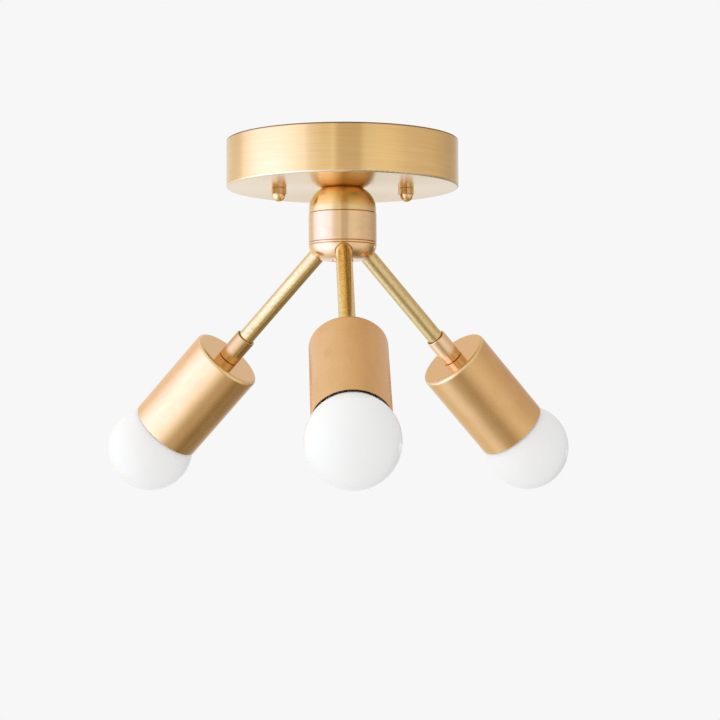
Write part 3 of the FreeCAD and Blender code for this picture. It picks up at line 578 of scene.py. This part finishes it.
def opal_glass():
    """Bulb: nearly even white, with a soft warm gloss."""
    material, tree, shader = principled("opal_glass")
    light, dark = OPAL_TONES
    cloud = noise(tree, object_place(tree), scale=60.0)
    surface(tree, shader, blend_colour(tree, cloud, dark, light), stretched(tree, cloud, *OPAL_ROUGHNESS))
    shader.inputs["Specular IOR Level"].default_value = OPAL_GLOSS
    shader.inputs["Specular Tint"].default_value = OPAL_GLOSS_TINT
    return material


def plated_metal(name, tones, gloss):
    """Plated or rolled sheet: slow clouds of tone and a fine skin; gloss is (least, most) roughness."""
    material, tree, shader = principled(name)
    light, dark = tones
    cloud = noise(tree, object_place(tree), scale=120.0, detail=4.0)
    fine = noise(tree, object_place(tree), scale=2500.0)
    surface(tree, shader, blend_colour(tree, cloud, dark, light), stretched(tree, fine, *gloss))
    shader.inputs["Metallic"].default_value = 1.0
    bump(tree, shader, fine, distance=6e-6)
    return material


def moulded(name, tones, gloss):
    """Plastic, glaze or paint: slow colour change and a fine skin; gloss is the middle roughness."""
    material, tree, shader = principled(name)
    light, dark = tones
    cloud = noise(tree, object_place(tree), scale=140.0, detail=3.0)
    fine = noise(tree, object_place(tree), scale=3000.0)
    roughness = stretched(tree, fine, gloss - MOULDED_GLOSS_SPREAD, gloss + MOULDED_GLOSS_SPREAD)
    surface(tree, shader, blend_colour(tree, cloud, dark, light), roughness)
    bump(tree, shader, fine, distance=5e-6)
    return material


def lead_insulation():
    """One lead is black and the other white, told apart by the side that they lie on."""
    material, tree, shader = principled("lead_insulation")
    place = object_place(tree)
    cloud = noise(tree, place, scale=140.0, detail=3.0)
    fine = noise(tree, place, scale=3000.0)
    side = remap(tree, split(tree, place)[0], -MARK_EDGE, MARK_EDGE)
    white, black = [blend_colour(tree, cloud, dark, light) for light, dark in (PALE_TONES, BLACK_TONES)]
    surface(tree, shader, blend_colour(tree, side, black, white), stretched(tree, fine, *LEAD_ROUGHNESS))
    bump(tree, shader, fine, distance=5e-6)
    return material


# Threaded pieces

def spaced(low, high, step):
    count = max(1, round((high - low) / step))
    return [low + (high - low) * i / count for i in range(count + 1)]


def thread_rings(axis, point, outline, pitch, depth, round_steps):
    """Rings of points about an axis, waved by a right-handed thread. Each step of the outline is its
    place along the axis, its radius at the thread's crest, and its share of the thread's depth."""
    side = axis.orthogonal().normalized()
    other = axis.cross(side)
    rings = []
    for place, crest, share in outline:
        ring = []
        for i in range(round_steps):
            turn = math.tau * i / round_steps
            wave = 0.5 - 0.5 * math.cos(math.tau * place / pitch - turn)
            outward = side * math.cos(turn) + other * math.sin(turn)
            ring.append(point + axis * place + outward * (crest - share * depth * wave))
        rings.append(ring)
    return rings


def ringed_piece(name, groups, is_sleeve):
    """A mesh of joined rings: a sleeve's last ring joins its first, and a rod's ends are closed."""
    made = bmesh.new()
    for rings in groups:
        rows = [[made.verts.new(spot) for spot in ring] for ring in rings]
        pairs = list(zip(rows, rows[1:]))
        if is_sleeve:
            pairs.append((rows[-1], rows[0]))
        else:
            made.faces.new(rows[0])
            made.faces.new(rows[-1])
        for first, second in pairs:
            for i in range(len(first)):
                made.faces.new((first[i - 1], first[i], second[i], second[i - 1]))
    bmesh.ops.recalc_face_normals(made, faces=made.faces)
    for face in made.faces:
        face.smooth = True
    mesh = bpy.data.meshes.new(name)
    made.to_mesh(mesh)
    made.free()
    mesh.set_sharp_from_angle(angle=SHARP_EDGE)
    piece = bpy.data.objects.new(name, mesh)
    bpy.context.collection.objects.link(piece)
    return piece


def base_outline(low, high, crest):
    """A bulb base's outline: up its outside, over the rim and back down its inside."""
    thread_low = low + BASE_SHOULDER
    thread_high = high - BASE_COLLAR
    hem = crest - BASE_SHOULDER
    run_out = BASE_PITCH / 3
    outside = []
    for place in spaced(thread_low, thread_high, BASE_PITCH / BASE_STEPS_PER_TURN):
        share = min(1.0, (place - thread_low) / run_out, (thread_high - place) / run_out)
        outside.append((place, crest, share))
    inside = [(place, crest - BASE_SHEET, share) for place, crest, share in reversed(outside)]
    rim = [(high, crest, 0.0), (high, crest - BASE_SHEET, 0.0)]
    foot = [(low + BASE_SHEET, hem - BASE_SHEET, 0.0), (low, hem - BASE_SHEET, 0.0), (low, hem, 0.0)]
    return outside + rim + inside + foot


def thread_bulb_base(where, material):
    """Bulb base of thin sheet with the rolled thread in it."""
    node = f"bulb_base_{where}"
    axis = lamp_axis[where]
    point = lamp_point[where]
    outline = base_outline(*reach(node, axis, point))
    rings = thread_rings(axis, point, outline, BASE_PITCH, BASE_THREAD_DEPTH, BASE_ROUND_STEPS)
    piece = ringed_piece(f"threaded_base_{where}", [rings], True)
    piece.data.materials.append(material)
    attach(piece, f"bulb_{where}")
    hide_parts(node)


def end_button(where, material):
    """Round-edged button on a bulb's end, which slides with the bulb and doesn't turn."""
    node = f"bulb_contact_{where}"
    axis = lamp_axis[where]
    point = lamp_point[where]
    low, high, edge = reach(node, axis, point)
    crown = (high - low) / 2
    outline = []
    for i in range(BUTTON_CROWN_STEPS + 1):
        turn = math.pi / 2 * i / BUTTON_CROWN_STEPS
        outline.append((low + crown - crown * math.cos(turn), edge - crown + crown * math.sin(turn), 0.0))
    outline.append((high - BUTTON_GAP, edge, 0.0))
    rings = thread_rings(axis, point, outline, BASE_PITCH, 0.0, BUTTON_ROUND_STEPS)
    piece = ringed_piece(f"end_button_{where}", [rings], False)
    piece.data.materials.append(material)
    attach(piece, f"bulb_carrier_{where}")
    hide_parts(node)


def thread_studs(material):
    """The canopy's two studs with the cut thread on them."""
    low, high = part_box("canopy_studs")
    crest = high[0] - NUT_SPACING / 2
    root = crest - STUD_THREAD_DEPTH
    places = spaced(low[2] + STUD_THREAD_DEPTH, high[2] - STUD_THREAD_DEPTH,
                    STUD_PITCH / STUD_STEPS_PER_TURN)
    outline = [(low[2], root, 0.0)] + [(place, crest, 1.0) for place in places] + [(high[2], root, 0.0)]
    groups = []
    for x in (-NUT_SPACING / 2, NUT_SPACING / 2):
        point = Vector((x, 0, 0))
        groups.append(thread_rings(UP, point, outline, STUD_PITCH, STUD_THREAD_DEPTH, STUD_ROUND_STEPS))
    piece = ringed_piece("threaded_studs", groups, False)
    piece.data.materials.append(material)
    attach(piece, "fixture")
    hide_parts("canopy_studs")


# Dressing

def dress(node, material):
    slots = frame["nodes"][node].data.materials
    slots.clear()
    slots.append(material)


def dress_fixture(steel, plain):
    """Canopy and hub, and what they hold."""
    ring_low, ring_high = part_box("hub_ring")
    upper_seam = ring_high[2]
    lower_seam = ring_low[2]
    body_seams = [lower_seam, lower_seam - BEAD_GROOVE_DROP]
    body_brass = rose_brass("rose_brass_body", HUB_BODY_PAINTED_LIGHT, body_seams, LAMPS)
    for node in STEEL_NODES:
        dress(node, steel)
    thread_studs(steel)
    dress("hub_ring", rose_brass("rose_brass_ring", HUB_RING_PAINTED_LIGHT, [upper_seam, lower_seam], []))
    dress("hub_body", body_brass)
    dress("hub_plug", body_brass)
    dress("canopy", canopy_brass())
    dress("hub_cap", hub_cap_brass(upper_seam))
    dress("cap_nuts", nut_brass())
    dress("ground_screw", plain["green_paint"])
    dress("nipple_bushing", plain["black_plastic"])
    dress("splice_block", plain["white_plastic"])
    dress("supply_leads", lead_insulation())
    dress("wire_connectors", plain["connector_plastic"])


def dress_lamp(where, steel, base_metal, opal, plain):
    """One arm with its cup, lampholder and bulb."""
    contact = contact_brass(where)
    dress(f"arm_{where}", aged_brass(where))
    dress(f"coupling_{where}", coupling_brass(where))
    dress(f"socket_cup_{where}", satin_brass(where))
    dress(f"cup_nipple_{where}", steel)
    dress(f"cup_lock_nut_{where}", steel)
    dress(f"lampholder_{where}", plain["holder_glaze"])
    dress(f"screw_shell_{where}", contact)
    dress(f"centre_contact_{where}", contact)
    end_button(where, contact)
    dress(f"arm_wires_{where}", plain["wire_insulation"])
    dress(f"bulb_insulator_{where}", plain["black_plastic"])
    thread_bulb_base(where, base_metal)
    dress(f"bulb_globe_{where}", opal)
    dress(f"light_board_{where}", plain["white_plastic"])


def dress_all():
    steel = plated_metal("plated_steel", STEEL_TONES, gloss=(0.28, 0.42))
    base_metal = plated_metal("rolled_base_metal", BASE_TONES, gloss=(0.22, 0.32))
    plain = {name: moulded(name, tones, gloss) for name, (tones, gloss) in MOULDED.items()}
    opal = opal_glass()
    dress_fixture(steel, plain)
    for where in LAMPS:
        dress_lamp(where, steel, base_metal, opal, plain)


# Surroundings, floor and camera

def facing(degrees_right, degrees_up):
    """Unit direction, counted from the camera's side."""
    turn = math.radians(degrees_right)
    rise = math.radians(degrees_up)
    return (math.sin(turn) * math.cos(rise), -math.cos(turn) * math.cos(rise), math.sin(rise))


def smooth_step(tree, angle, start, end):
    """A smooth rise from 0 to 1 as an angle goes from start to end, which are in degrees."""
    values = {"Value": angle, "From Min": math.radians(start), "From Max": math.radians(end)}
    return add(tree, "MapRange", values, interpolation_type="SMOOTHSTEP").outputs[0]


def between(tree, angle, low, high, half_edge):
    rise = smooth_step(tree, angle, low - half_edge, low + half_edge)
    fall = smooth_step(tree, angle, high + half_edge, high - half_edge)
    return calc(tree, "MULTIPLY", rise, fall)


def tinted(tree, colour, amount, change):
    scaled = add(tree, "VectorMath", {0: change, "Scale": amount}, operation="SCALE").outputs[0]
    return vector_calc(tree, "ADD", colour, scaled)


def room_colour(tree, direction):
    """The room's colour in a direction: its level, then each patch and each panel."""
    colour = add(tree, "CombineXYZ", dict(enumerate(ROOM_LEVEL))).outputs[0]
    for degrees_right, degrees_up, inner, outer, change in ROOM_PATCHES.values():
        nearness = vector_calc(tree, "DOT_PRODUCT", direction, facing(degrees_right, degrees_up))
        angle = calc(tree, "ARCCOSINE", nearness)
        colour = tinted(tree, colour, smooth_step(tree, angle, outer, inner), change)
    parts = split(tree, direction)
    to_right = calc(tree, "ARCTAN2", parts[0], calc(tree, "MULTIPLY", parts[1], -1.0))
    upward = calc(tree, "ARCSINE", parts[2])
    for left, right, low, high, edge, fade, change in ROOM_PANELS.values():
        across = between(tree, to_right, left, right, edge)
        inside = calc(tree, "MULTIPLY", across, between(tree, upward, low, high, fade))
        colour = tinted(tree, colour, inside, change)
    return colour


def surroundings():
    """World light: the room for gloss, even soft light for the rest, plain white for the camera."""
    world = bpy.data.worlds.new("studio")
    bpy.context.scene.world = world
    world.use_nodes = True
    world.cycles.sampling_method = "NONE"
    tree = world.node_tree
    tree.nodes.clear()
    direction = add(tree, "TexCoord").outputs["Generated"]
    path = add(tree, "LightPath").outputs
    slope = calc(tree, "MULTIPLY", vector_calc(tree, "DOT_PRODUCT", direction, SOFT_FROM), SOFT_SLOPE)
    soft = add(tree, "Background", {"Strength": calc(tree, "ADD", slope, SOFT_LEVEL)})
    room = add(tree, "Background", {"Color": room_colour(tree, direction)})
    white = add(tree, "Background", {"Strength": BACKDROP_WHITE})
    for background in (soft, white):
        background.inputs["Color"].default_value = (1, 1, 1, 1)
    light = add(tree, "MixShader", {0: path["Is Diffuse Ray"], 1: room.outputs[0], 2: soft.outputs[0]})
    seen = add(tree, "MixShader", {0: path["Is Camera Ray"], 1: light.outputs[0], 2: white.outputs[0]})
    output = add(tree, "OutputWorld", {0: seen.outputs[0]})
    output.is_active_output = True


def floor():
    """Pale floor far below the light; the camera sees it as white as the backdrop, with its shadow."""
    half = FLOOR_SIZE / 2
    mesh = bpy.data.meshes.new("floor")
    corners = [(-half, -half, -FLOOR_DROP), (half, -half, -FLOOR_DROP),
               (half, half, -FLOOR_DROP), (-half, half, -FLOOR_DROP)]
    mesh.from_pydata(corners, [], [(0, 1, 2, 3)])
    plane = bpy.data.objects.new("floor", mesh)
    bpy.context.collection.objects.link(plane)
    material, tree, shader = principled("pale_floor")
    cloud = noise(tree, object_place(tree), scale=3.0)
    colour = blend_colour(tree, cloud, FLOOR_DARKER, FLOOR_LIGHTER)
    tree.links.new(colour, shader.inputs["Base Color"])
    shader.inputs["Roughness"].default_value = FLOOR_ROUGHNESS
    mesh.materials.append(material)
    plane.visible_glossy = False


def camera():
    azimuth = math.radians(CAMERA_AZIMUTH)
    place = Vector((math.sin(azimuth) * CAMERA_DISTANCE,
                    -math.cos(azimuth) * CAMERA_DISTANCE, CAMERA_HEIGHT))
    heading = azimuth - math.radians(CAMERA_YAW)
    pitch = math.radians(CAMERA_PITCH)
    level = Vector((-math.sin(heading), math.cos(heading), 0))
    forward = level * math.cos(pitch) + UP * math.sin(pitch)
    right = Matrix.Rotation(math.radians(CAMERA_ROLL), 3, forward) @ forward.cross(UP).normalized()
    above = right.cross(forward)
    data = bpy.data.cameras.new("camera")
    data.sensor_width = SENSOR_MM
    data.lens = FOCAL_PIXELS / IMAGE_PIXELS * SENSOR_MM
    data.clip_end = CAMERA_REACH
    holder = bpy.data.objects.new("camera", data)
    bpy.context.collection.objects.link(holder)
    holder.matrix_world = Matrix((
        (right.x, above.x, -forward.x, place.x),
        (right.y, above.y, -forward.y, place.y),
        (right.z, above.z, -forward.z, place.z),
        (0, 0, 0, 1),
    ))
    bpy.context.scene.camera = holder


bpy.context.scene.view_settings.view_transform = "Standard"
dress_all()
surroundings()
floor()
camera()
